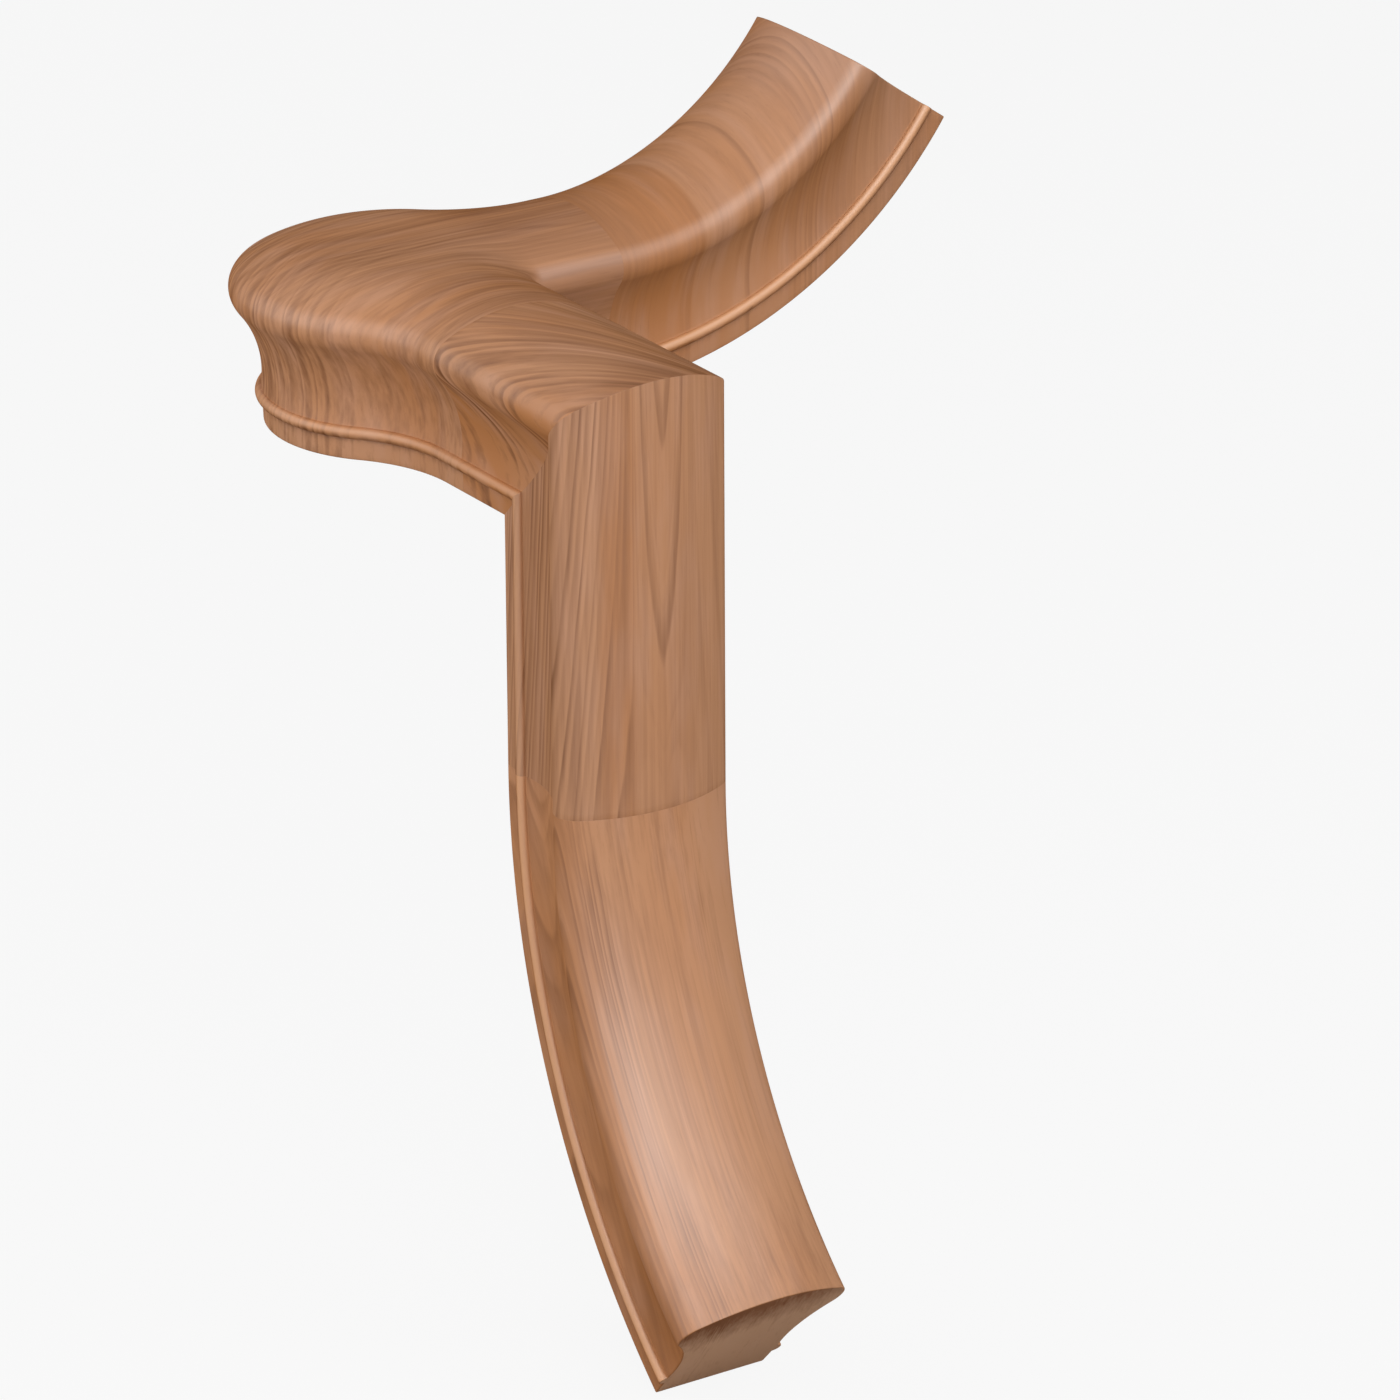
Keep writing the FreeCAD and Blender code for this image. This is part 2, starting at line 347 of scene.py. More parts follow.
def solid_piece(name, points, heights, faces):
    """A closed mesh object: doubles merged, faces turned outwards, smooth except across creases.

    Every point keeps its height in the section."""
    mesh = bpy.data.meshes.new(name)
    mesh.from_pydata(points, [], faces)
    mesh.attributes.new(HEIGHT, "FLOAT", "POINT").data.foreach_set("value", heights)
    shape = bmesh.new()
    shape.from_mesh(mesh)
    bmesh.ops.remove_doubles(shape, verts=shape.verts, dist=MERGE_DISTANCE)
    bmesh.ops.dissolve_degenerate(shape, dist=SLIVER, edges=shape.edges)
    bmesh.ops.recalc_face_normals(shape, faces=shape.faces)
    if any(not edge.is_manifold for edge in shape.edges):
        raise RuntimeError(name + " has an open seam")
    shape.to_mesh(mesh)
    shape.free()
    mesh.shade_smooth()
    mesh.set_sharp_from_angle(angle=CREASE)
    piece = bpy.data.objects.new(name, mesh)
    bpy.context.scene.collection.objects.link(piece)
    return piece


def carried_rail(name, section, place, length, stations, start_ease, end_ease):
    """A section carried along a path, with eased edges and flat faces at both ends.

    place(share, u, v) gives the point at a share of the path, and length is that of the path."""
    profile = whole_section(section)
    normals = outward(profile, closed=True)
    start_rings, start_back = eased(profile, normals, start_ease)
    end_rings, end_back = eased(profile, normals, end_ease)
    middle = np.linspace(start_ease / length, 1 - end_ease / length, stations)[1:-1]
    share = np.concatenate([start_back / length, middle, (1 - end_back / length)[::-1]])
    rings = np.concatenate([start_rings, np.repeat(profile[None], len(middle), axis=0), end_rings[::-1]])
    points = place(share[:, None], rings[..., 0], rings[..., 1]).reshape(-1, 3)
    around = len(profile)
    faces = grid_faces(len(share), around, closed=True).tolist()
    faces.append(list(range(around)))
    faces.append(list(range(len(points) - around, len(points))))
    return solid_piece(name, points, rings[..., 1].reshape(-1), faces)


def rise(values, low, high):
    """0 below low, 1 above high, and 3 t^2 - 2 t^3 of the share t between them."""
    share = np.clip((values - low) / (high - low), 0, 1)
    return share ** 2 * (3 - 2 * share)


def mark_surface(piece, grain, section):
    """Store the bead's painted highlight, the quirk's painted shade, where a flat end cuts the fibre, and the
    shine.

    A painted highlight lies on the bead's upper half, and painted shade from its lower half into the quirk
    under it: both rise and fall with the height above the bead's middle, in halves of its thickness. Flat
    ends have neither. They cut across the fibre by a rise of |normal . fibre| near 1. The shine falls from
    the tops to the coves and undersides."""
    mesh = piece.data
    height = np.empty(len(mesh.vertices), np.float32)
    mesh.attributes[HEIGHT].data.foreach_get("value", height)
    above = (height - section.bead_height) / (section.bead_thickness / 2)
    # Painted highlight on the bead's upper half, painted shade from its lower half into the quirk
    bead_highlight = rise(above, *BEAD_HIGHLIGHT_RISE) * (1 - rise(above, *BEAD_HIGHLIGHT_FALL))
    quirk = rise(above, *QUIRK_SHADE_RISE) * (1 - rise(above, *QUIRK_SHADE_FALL))
    normals = np.empty(3 * len(mesh.loops), np.float32)
    mesh.corner_normals.foreach_get("vector", normals)
    normals = normals.reshape(-1, 3)
    fibre = grain_axes(grain)[2]
    cut = np.zeros(len(normals))
    for flat in (face for face in mesh.polygons if face.loop_total > 4):
        corners = slice(flat.loop_start, flat.loop_start + flat.loop_total)
        edge = list(flat.vertices)
        normals[corners] = flat.normal
        bead_highlight[edge] = 0
        quirk[edge] = 0
        cut[corners] = rise(abs(flat.normal.dot(fibre)), *CUT_RISE)
    shine = np.clip(UPRIGHT_SHINE + TOP_SHINE * normals[:, 2], LEAST_SHINE, 1)
    shine = np.maximum(shine, CUT_SHINE * cut)
    for name, domain, values in ((BEAD_HIGHLIGHT, "POINT", bead_highlight), (QUIRK_SHADE, "POINT", quirk),
                                 (CUT_ACROSS, "CORNER", cut), (SHINE, "CORNER", shine)):
        mesh.attributes.new(name, "FLOAT", domain).data.foreach_set("value", values)


def dress(piece, block, node, scene):
    """Give a piece the wood of its block and let it stand for a solid of the frame."""
    grain = GRAIN[block]
    mark_surface(piece, grain, scene.gooseneck_section)
    piece.data.materials.append(wood(block + "_wood_grain", grain, scene.gooseneck_timber))
    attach(piece, BODY)
    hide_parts(node)


def turning(centre, radius, start, stop, count, side):
    """Spine points on an arc in plan, with the direction towards the moulding.

    side is 1 outwards and -1 inwards."""
    angle = np.linspace(start, stop, count)
    ray = np.stack([np.cos(angle), np.sin(angle)], axis=1)
    return np.array(centre) + radius * ray, side * ray


def running(start, stop, count, side):
    """Spine points on a straight line in plan, with the direction towards the moulding."""
    return np.linspace(start, stop, count), np.repeat(np.array([side], float), count, axis=0)


def joined(parts):
    """Several stretches of spine as one, without the doubled points where they meet."""
    kept = [parts[0]] + [(points[1:], sides[1:]) for points, sides in parts[1:]]
    return np.concatenate([points for points, _ in kept]), np.concatenate([sides for _, sides in kept])


def moulded_strip(profile, normals, spine, ease):
    """The half section carried along a spine in plan: point = spine + u * side, at height v; ends eased."""
    points, sides = spine
    rings, back = eased(profile, normals, ease)
    step = (points[1] - points[0]) / np.linalg.norm(points[1] - points[0])
    last = (points[-2] - points[-1]) / np.linalg.norm(points[-2] - points[-1])
    head = points[0] + back[:, None] * step
    tail = points[-1] + back[:, None] * last
    spots = np.concatenate([head, points[1:-1], tail[::-1]])
    aside = np.concatenate([np.repeat(sides[:1], len(back), axis=0), sides[1:-1],
                            np.repeat(sides[-1:], len(back), axis=0)])
    whole = np.repeat(profile[None], len(points) - 2, axis=0)
    rows = np.concatenate([rings, whole, rings[::-1]])
    plan = spots[:, None, :] + rows[..., :1] * aside[:, None, :]
    return np.concatenate([plan, rows[..., 1:]], axis=2)


def cap_mesh(section, plan):
    """Points and faces of the round cap.

    Two strips carry the moulding: one round the rim and both sweeps, one round the crotch. A flat face
    closes the top between their spines, the section closes both joints, and the underside runs from the
    base line to the pin bore."""
    profile = half_section(section)
    normals = outward(profile, closed=False)
    half = section.width / 2
    offset = half + plan.sweep_radius
    reach = math.sqrt((plan.cap_radius + plan.sweep_radius) ** 2 - offset ** 2)
    turn = math.atan2(reach, offset)
    crotch = half + plan.crotch_radius
    quarter = math.pi / 2
    outer = joined([
        running((plan.rail_joint, 0), (reach, 0), STUB_STATIONS, (0, -1)),
        turning((reach, -offset), offset, quarter, quarter + turn, SWEEP_STATIONS, -1),
        turning((0, 0), plan.cap_radius - half, turn - quarter, -turn - math.pi, RIM_STATIONS, 1),
        turning((-offset, reach), offset, -turn, 0, SWEEP_STATIONS, -1),
        running((0, reach), (0, plan.easing_joint), STUB_STATIONS, (-1, 0)),
    ])
    inner = joined([
        running((plan.rail_joint, 0), (reach, 0), STUB_STATIONS, (0, 1)),
        running((reach, 0), (crotch, 0), STRAIGHT_STATIONS, (0, 1)),
        turning((crotch, crotch), crotch, -quarter, -math.pi, CROTCH_STATIONS, -1),
        running((0, crotch), (0, reach), STRAIGHT_STATIONS, (1, 0)),
        running((0, reach), (0, plan.easing_joint), STUB_STATIONS, (1, 0)),
    ])
    strips = [moulded_strip(profile, normals, spine, plan.seam) for spine in (outer, inner)]
    columns = len(profile)
    rows = [len(strip) for strip in strips]
    starts = [0, rows[0] * columns]
    faces = []
    for start, count in zip(starts, rows):
        faces += grid_faces(count, columns, first=start).tolist()
    edge_rows = STUB_STATIONS + EASE_STATIONS - 2
    outer_top = [row * columns for row in range(edge_rows, rows[0] - edge_rows)]
    inner_top = [starts[1] + row * columns for row in range(edge_rows, rows[1] - edge_rows)]
    faces.append(outer_top + inner_top[::-1])
    for outer_row, inner_row in ((0, 0), (rows[0] - 1, rows[1] - 1)):
        outer_side = [outer_row * columns + k for k in range(columns)]
        inner_side = [starts[1] + inner_row * columns + k for k in range(columns)]
        faces.append(outer_side + inner_side[:0:-1])
    base = [row * columns + columns - 1 for row in range(rows[0])]
    base += [starts[1] + row * columns + columns - 1 for row in range(rows[1])][::-1]
    points = np.concatenate([strip.reshape(-1, 3) for strip in strips])
    bore_points, bore_faces = pin_bore(points[base], base, len(points))
    return np.concatenate([points, bore_points]), faces + bore_faces


def pin_bore(base_points, base, first):
    """The underside from the base line to the bore, the wall of the bore and its flat end.

    Every ring of the bore has one point on the ray from its axis to each point of the base line."""
    radius = BORE["r_mm"] * MM
    depth = BORE["length_mm"] * MM
    ray = base_points[:, :2] / np.linalg.norm(base_points[:, :2], axis=1, keepdims=True)
    rings = ((radius + BORE_LIP, 0), (radius, BORE_LIP), (radius, depth))
    points = np.concatenate([
        np.column_stack([ray * size, np.full(len(ray), height)]) for size, height in rings])
    count = len(ray)
    ring_numbers = [np.array(base)] + [first + k * count + np.arange(count) for k in range(len(rings))]
    faces = []
    for near, far in zip(ring_numbers, ring_numbers[1:]):
        faces += np.stack([near, np.roll(near, -1), np.roll(far, -1), far], axis=1).tolist()
    faces.append(ring_numbers[-1].tolist())
    return points, faces


class Shade:
    """A socket of a material's nodes, so that shader maths reads as an expression."""

    def __init__(self, tree, socket=None):
        self.tree = tree
        self.socket = socket

    def node(self, kind, sockets=None, out=0, **settings):
        """Add any node: its settings first, then a value or link for each input; gives one of its outputs."""
        made = self.tree.nodes.new(kind)
        for name, value in settings.items():
            setattr(made, name, value)
        for name, value in (sockets or {}).items():
            if isinstance(value, Shade):
                self.tree.links.new(value.socket, made.inputs[name])
            else:
                made.inputs[name].default_value = value
        return Shade(self.tree, made.outputs[out] if made.outputs else None)

    def math(self, operation, *values):
        """Add a Math node on this value and further ones."""
        return self.node("ShaderNodeMath", dict(enumerate((self,) + values)), operation=operation)

    def __add__(self, other):
        return self.math("ADD", other)

    def __mul__(self, other):
        return self.math("MULTIPLY", other)

    __rmul__ = __mul__

    def __sub__(self, other):
        return self.math("SUBTRACT", other)

    def __rsub__(self, other):
        return self.node("ShaderNodeMath", {0: other, 1: self}, operation="SUBTRACT")

    def __truediv__(self, other):
        return self.math("DIVIDE", other)

    def __pow__(self, other):
        return self.math("POWER", other)

    def fraction(self):
        """What is left after the whole number."""
        return self.math("FRACT")

    def step(self, low, high):
        """0 below low, 1 above high, and a smooth rise between them."""
        return self.node("ShaderNodeMapRange", {"Value": self, "From Min": low, "From Max": high},
                         interpolation_type="SMOOTHSTEP")

    def axes(self):
        """The three parts of a vector."""
        made = self.tree.nodes.new("ShaderNodeSeparateXYZ")
        self.tree.links.new(self.socket, made.inputs[0])
        return [Shade(self.tree, output) for output in made.outputs]

    def stretched(self, scale, offset):
        """This vector times a scale for each axis, plus an offset."""
        return self.node("ShaderNodeVectorMath", {0: self, 1: scale, 2: offset}, operation="MULTIPLY_ADD")

    def noise(self, detail):
        """Smooth noise at this vector, from 0 to 1."""
        return self.node("ShaderNodeTexNoise", {"Vector": self, "Scale": 1.0, "Detail": detail})

    def sway(self, offset):
        """Smooth noise along this number, from 0 to 1."""
        sockets = {"W": self + offset, "Scale": 1.0, "Detail": 0.0}
        return self.node("ShaderNodeTexNoise", sockets, noise_dimensions="1D")

    def chance(self, offset):
        """A number from 0 to 1 that is drawn anew for every value."""
        return self.node("ShaderNodeTexWhiteNoise", {"W": self + offset}, noise_dimensions="1D")

    def mixed(self, factor, other):
        """This colour, turned into another one by the factor."""
        return self.node("ShaderNodeMix", {0: factor, 6: self, 7: other}, out=2, data_type="RGBA")


# Axes of a block: depth in the tree, tangential direction and fibre
DEPTH, ASIDE, ALONG = range(3)


class Fade(NamedTuple):
    """A change from 1 to the share left, between two places along an axis."""
    axis: int
    from_place: float
    to_place: float
    left: float = 0


class Rings(NamedTuple):
    """A set of growth rings.

    spacing is in millimetres, width the share of it that the dark line takes, and strength how dark the
    line is. fades are where it weakens, phase is where the count of years starts, and uneven how much the
    years differ."""
    spacing: float
    width: float
    strength: float
    fades: tuple = ()
    phase: float = 0
    uneven: float = 1


class Drift(NamedTuple):
    """Between two places along an axis the colour gets darker and warmer by these shares. Some drifts are
    painted shade and some painted light, as the comments in GRAIN say.
    """
    axis: int
    from_place: float
    to_place: float
    dark: float
    warm: float


class Ends(NamedTuple):
    """Between two places along the tangential axis, faces cut across the fibre get darker by this share; on
    the lower block this is painted shade under its crown edge.

    Places beyond the block make them evenly dark."""
    from_place: float
    to_place: float
    dark: float


class Growth(NamedTuple):
    """Noise along the fibre: width and length in millimetres, detail, and values between which it rises."""
    width: float
    length: float
    detail: float = 1
    rise: tuple = ()


class Grain(NamedTuple):
    """How a block lies in its tree, in millimetres.

    radial is square to the rings and fibre runs along them. Rings are counted from the point start, where
    they have the radius core. Along the fibre they narrow by taper within the distance reach of the pith
    and by lean beyond it, and bow by bow. wander is how far they stray. tone is how light the block is,
    drifts how its colour changes along the axes, some of them painted shade and some painted light, and ends
    how its cut ends do, on the lower block a painted shade. slab is how many times wider streaks are along
    the rings than across them. warmth and streaks are how strong the warm clouds and the streaks are, and
    bead how strongly the painted highlight lightens the bead."""
    radial: tuple
    fibre: tuple
    start: tuple
    rings: tuple
    tone: float
    wander: float
    seed: float
    core: float = 400
    taper: float = 0
    reach: float = 50
    lean: float = 0
    bow: float = 0
    drifts: tuple = ()
    ends: Ends = Ends(-1000, -999, dark=0.22)
    slab: float = 1
    warmth: float = 0.7
    streaks: float = 0.7
    bead: float = 0.42


GRAIN = {
    "cap": Grain(
        radial=(1, 0, 0), fibre=(0, 1, 0), start=(0, 22, 30), bow=-1 / 300, tone=0.97, wander=1.4, seed=3.1,
        slab=4, streaks=1.1, bead=0.3,
        drifts=(
            # painted shade: darker towards the back, by the crotch
            Drift(ALONG, -5, 20, dark=0.2, warm=0.25),
            # painted shade: darker on the flat top
            Drift(ASIDE, -30, -33.4, dark=0.15, warm=0.1),
            # painted light: lighter on the base strip under the bead
            Drift(ASIDE, 19, 24, dark=-0.15, warm=-0.3)),
        rings=(
            Rings(3.4, 0.3, 1.0, uneven=1.5, fades=(
                Fade(DEPTH, 14, 24, left=0.1), Fade(ASIDE, -24, -32, left=0.45),
                Fade(ALONG, 15, 45, left=0.2))),
            Rings(8.0, 0.25, 0.35, fades=(Fade(ALONG, 15, 45, left=0.3),)))),
    "level": Grain(
        radial=(0.45, -0.8, 0.38), fibre=(0.87, 0.49, 0), start=(110, 0, 60), core=160, tone=0.94, wander=1.2,
        seed=11.7, slab=3, streaks=1.2,
        drifts=(
            Drift(ALONG, 20, 48, dark=0.2, warm=0.2),
            Drift(ASIDE, 14, 32, dark=-0.4, warm=0.6),
            # painted shade: darker on the top, towards the back edge
            Drift(ASIDE, 3, -2, dark=0.1, warm=0)),
        rings=(
            Rings(4.8, 0.36, 1.55, fades=(Fade(ASIDE, 14, 0, left=0.25),)),
            Rings(2.6, 0.33, 0.6, fades=(Fade(ASIDE, 30, 18, left=0.5),)))),
    "drop": Grain(
        radial=(1, 0, 0), fibre=(0, 0, 1), start=(165.5, 0.5, 0), core=0, taper=-0.125, reach=12, lean=0.09,
        tone=0.94, wander=0.4, seed=7.4, warmth=0.3, bead=0.34,
        drifts=(
            Drift(ASIDE, -9, -13, dark=0, warm=0.5),
            Drift(ASIDE, -20, -25, dark=0.03, warm=-0.8),
            Drift(ASIDE, 6, 16, dark=0, warm=-0.3)),
        rings=(
            Rings(9.5, 0.13, 0.8, phase=0.26, uneven=0, fades=(
                Fade(ASIDE, 9, 15, left=0.35), Fade(ASIDE, -12, -18, left=0.35))),
            Rings(2.4, 0.3, 1.1, fades=(Fade(ASIDE, -15, -9, left=0.15),)))),
    "lower": Grain(
        radial=(0.14, 0.98, 0.11), fibre=(0.4, 0, -0.92), start=(190, 0, -170), tone=1.0, wander=1.0,
        # painted shade: the cut end darker under its crown edge
        seed=5.9, slab=3, warmth=0.3, streaks=0.75, bead=0.8, ends=Ends(-16, 14, dark=1.6),
        drifts=(
            Drift(ALONG, 10, -90, dark=-0.1, warm=0.2),
            # painted shade on the cove side, which is also warmer in colour
            Drift(DEPTH, -18, -30, dark=0.1, warm=0.5),
            Drift(ALONG, 50, 85, dark=0.13, warm=0.4),
            Drift(DEPTH, 8, 27, dark=-0.12, warm=-0.5)),
        rings=(
            Rings(3.0, 0.3, 0.75, fades=(Fade(DEPTH, -14, -4, left=0.25), Fade(ALONG, -45, 5, left=0.4))),
            Rings(1.5, 0.3, 0.8, fades=(Fade(DEPTH, -20, -12, left=0.4),)))),
    "upper": Grain(
        radial=(0, 1, 0), fibre=(0, 0, 1), start=(0, 108.3, 60), tone=0.94, wander=0.4, seed=1.3, slab=12,
        streaks=0.5, bead=0.95,
        drifts=(
            Drift(DEPTH, 1, -2, dark=0.1, warm=0.8),
            # painted shade: darker near the cap, by the crotch; also less warm in colour
            Drift(DEPTH, -16, -36, dark=0.08, warm=-0.5),
            Drift(DEPTH, 28, 48, dark=0.14, warm=0.1),
            # painted light: lighter low down near the cap, by the crotch; also slightly warmer
            Drift(ALONG, -8, -35, dark=-0.18, warm=0.1)),
        rings=(
            Rings(25, 0.045, 0.8, uneven=0, fades=(
                Fade(DEPTH, 27, 31), Fade(DEPTH, -4, -9), Fade(DEPTH, 14, 2, left=0.35))),
            Rings(2.3, 0.3, 0.7, fades=(Fade(DEPTH, 48, 41, left=0.1), Fade(DEPTH, 58, 66, left=0.3))))),
}

# The pins of each joint, and the direction of the fibre along them
DOWELS = {
    "cap_rail_dowels": (1, 0, 0),
    "cap_easing_dowels": (0, 1, 0),
    "mitre_dowels": (1, 0, -1),
    "drop_dowels": (0, 0, 1),
}
DOWEL_RINGS = (Rings(1.8, 0.25, 0.6), Rings(0.7, 0.3, 0.2))

# How quickly and how far the years sway, where a line starts and is darkest in widths before the end of its
# year, and how far the years differ in strength, for each share of unevenness and at most
SWAY_RATE = 0.55
SWAY = 1.2
LINE_START = 3
LINE_CREST = 0.7
YEAR_SPREAD = 0.8
MOST_SPREAD = 0.85

# Rings stray slowly and quickly by multiples of the block's wander, and finely by millimetres
SLOW_STRAY = Growth(70, 260)
QUICK_STRAY = Growth(15, 110, 2)
FINE_STRAY = Growth(5, 35)
SLOW_REACH = 4
FINE_REACH = 0.9

# Patches weaken the lines by up to this share
PATCH = Growth(11, 60, rise=(0.3, 0.65))
PATCH_SHARE = 0.6

# Multiples of the block's seed along its axes, how far on the second set of rings draws, and the middle of
# any noise
SEED_STEPS = (1, 2.3, 3.7)
SECOND_DRAW = 5
NOISE_MIDDLE = 0.5

# Broad bands, streaks and pores, and clouds of another tint
BAND = Growth(6, 160)
STREAK = Growth(1.6, 80, 3)
PORE = Growth(0.45, 9, rise=(0.6, 0.76))
CLOUD = Growth(38, 120, 2, rise=(0.3, 0.7))
BLUSH = Growth(9, 45, 2, rise=(0.4, 0.75))
BLUSH_SHARE = 0.55

# How dark each part of the figure makes the wood, and how light
GROUND_DARK = 0.08
LINE_DARK = 0.62
BAND_DARK = 0.7
PORE_DARK = 0.1
# The quirk's darkening is painted shade, and the bead's lightening a painted highlight
QUIRK_SHADE_DARK = 0.4
BEAD_HIGHLIGHT_LIGHT = 0.12
CUT_LIGHT = 0.3
CUT_LINE_LIGHT = 0.35

# How rough streaks, pores and cut ends are, and how deep lines and pores lie
STREAK_ROUGH = 0.12
PORE_ROUGH = 0.08
CUT_ROUGH = 0.35
LINE_DEPTH = 0.4
PORE_DEPTH = 0.6


def grain_axes(grain):
    """Turn from the object's axes to radial, tangential and fibre direction."""
    radial = Vector(grain.radial).normalized()
    fibre = Vector(grain.fibre)
    fibre = (fibre - radial * fibre.dot(radial)).normalized()
    return Matrix((radial, fibre.cross(radial), fibre))


def ring_line(places, depth, rings, seed):
    """Dark lines of one set of rings, from 0 to 1.

    The count of years is depth over spacing, made uneven. A line rises slowly before the end of a year and
    drops back at its end. Years differ in strength."""
    even = depth / rings.spacing + rings.phase
    count = even + (even * SWAY_RATE).sway(seed) * (SWAY * rings.uneven)
    ring = count.fraction()
    strength = count.math("FLOOR").chance(seed)
    crest = 1 - rings.width * LINE_CREST
    line = ring.step(1 - LINE_START * rings.width, crest) * (1 - ring.step(crest, 1.0))
    line = line * (1 - (1 - strength) * min(MOST_SPREAD, YEAR_SPREAD * rings.uneven)) * rings.strength
    for fade in rings.fades:
        line = line * (places[fade.axis].step(fade.from_place, fade.to_place) * (fade.left - 1) + 1)
    return line


def wood(name, grain, timber):
    """Satin finished hardwood cut from one block.

    The depth of a point in the tree is its distance from the pith, with taper, lean, bow and three noises
    added. Two sets of rings are drawn at that depth, patchy along the fibre. Broad bands, streaks, pores
    and tinted clouds run along the fibre, and drifts, some of them painted shade and some painted light,
    change the colour along the axes. Cut ends have a colour of their own, get darker towards one side, on
    the lower block as painted shade, and are rougher. Painted shade darkens the quirk and a painted
    highlight lightens the bead."""
    material = bpy.data.materials.new(name)
    material.use_nodes = True
    tree = material.node_tree
    tree.nodes.clear()
    shade = Shade(tree)
    turn = grain_axes(grain)
    point = shade.node("ShaderNodeTexCoord", out="Object")
    local = shade.node("ShaderNodeMapping", {
        "Vector": point, "Scale": (1 / MM, 1 / MM, 1 / MM), "Rotation": turn.to_euler(),
        "Location": -(turn @ Vector(grain.start))}, vector_type="POINT")
    seed = [grain.seed * step for step in SEED_STEPS]

    def grown(growth):
        """Noise of a width across the fibre and a length along it, as it is or as a rise."""
        scale = (1 / growth.width, 1 / (growth.width * grain.slab), 1 / growth.length)
        noise = local.stretched(scale, seed).noise(growth.detail)
        return noise.step(*growth.rise) if growth.rise else noise

    across, aside, along = local.axes()
    radius = ((across + grain.core) ** 2 + aside ** 2) ** 0.5 - grain.core
    near = ((aside / grain.reach) ** 2 * -1.0).math("EXPONENT")
    slope = near * (grain.taper - grain.lean) + grain.lean
    stray = (grown(SLOW_STRAY) - NOISE_MIDDLE) * (SLOW_REACH * grain.wander)
    stray = stray + (grown(QUICK_STRAY) - NOISE_MIDDLE) * grain.wander + grown(FINE_STRAY) * FINE_REACH
    depth = radius + along * slope + along ** 2 * grain.bow + stray
    places = (depth, aside, along)
    patch = grown(PATCH) * PATCH_SHARE + (1 - PATCH_SHARE)
    line = ring_line(places, depth, grain.rings[0], grain.seed) * (patch * PATCH_SHARE + (1 - PATCH_SHARE))
    fine_line = ring_line(places, depth, grain.rings[1], grain.seed + SECOND_DRAW) * patch
    band = grown(BAND) - NOISE_MIDDLE
    streak = grown(STREAK) - NOISE_MIDDLE
    pore = grown(PORE)
    warmth = grown(CLOUD) * grain.warmth
    blush = grown(BLUSH) * BLUSH_SHARE
    cut_across, shine, bead_highlight, quirk = [
        shade.node("ShaderNodeAttribute", out="Fac", attribute_name=mark)
        for mark in (CUT_ACROSS, SHINE, BEAD_HIGHLIGHT, QUIRK_SHADE)]
    line_dark = (line + fine_line) * (LINE_DARK - CUT_LINE_LIGHT * cut_across)
    dark = line_dark + (band * BAND_DARK + streak) * grain.streaks
    dark = dark + pore * PORE_DARK + GROUND_DARK
    # Cut ends darken towards one side, on the lower block as painted shade under its crown edge; then a
    # painted highlight lightens the bead and painted shade darkens the quirk
    end_tone_and_shade = aside.step(grain.ends.from_place, grain.ends.to_place) * grain.ends.dark - CUT_LIGHT
    dark = dark + cut_across * end_tone_and_shade - bead_highlight * BEAD_HIGHLIGHT_LIGHT + quirk * QUIRK_SHADE_DARK
    # Drifts along the axes; some are painted shade and some painted light, as marked in GRAIN
    for drift in grain.drifts:
        share = places[drift.axis].step(drift.from_place, drift.to_place) * (1 - cut_across)
        dark = dark + share * drift.dark
        warmth = warmth + share * drift.warm
    early, warm, pale, across_fibre, late, bright = [
        (*(part * grain.tone for part in colour), 1)
        for colour in (timber.early, timber.warm, timber.pale, timber.across, timber.late, timber.bright)]
    ground = shade.node(
        "ShaderNodeMix", {0: warmth.math("MINIMUM", 1.0), 6: early, 7: warm}, out=2, data_type="RGBA")
    colour = ground.mixed(blush, pale).mixed(cut_across, across_fibre)
    # The bright colour over the bead's upper half is a painted highlight
    colour = colour.mixed(dark.math("MAXIMUM", 0.0), late).mixed(bead_highlight * grain.bead, bright)
    rough = streak * STREAK_ROUGH + timber.roughness + pore * PORE_ROUGH + cut_across * CUT_ROUGH
    height = 1 - line * LINE_DEPTH - pore * PORE_DEPTH
    bump = shade.node("ShaderNodeBump", {"Strength": 0.12, "Distance": 0.2 * MM, "Height": height})
    facing = 1 - shade.node("ShaderNodeLayerWeight", {"Blend": 0.5}, out="Facing")
    surface = shade.node("ShaderNodeBsdfPrincipled", {
        "Base Color": colour, "Roughness": rough, "Normal": bump, "IOR": 1.45, "Specular IOR Level": 0.0,
        "Coat Weight": facing ** 2 * shine.math("MAXIMUM", bead_highlight), "Coat Roughness": 0.42, "Coat IOR": 1.8})
    shade.node("ShaderNodeOutputMaterial", {"Surface": surface})
    return material


class GOOSENECK_OT_cap(bpy.types.Operator):
    """Make the round newel cap, with the moulding carried round rim, sweeps and crotch"""
    bl_idname = "gooseneck.cap"
    bl_label = "Newel cap"

    def execute(self, context):
        scene = context.scene
        points, faces = cap_mesh(scene.gooseneck_section, scene.gooseneck_plan)
        piece = solid_piece("cap_block", points, points[:, 2], faces)
        dress(piece, "cap", "newel_cap", scene)
        return {"FINISHED"}


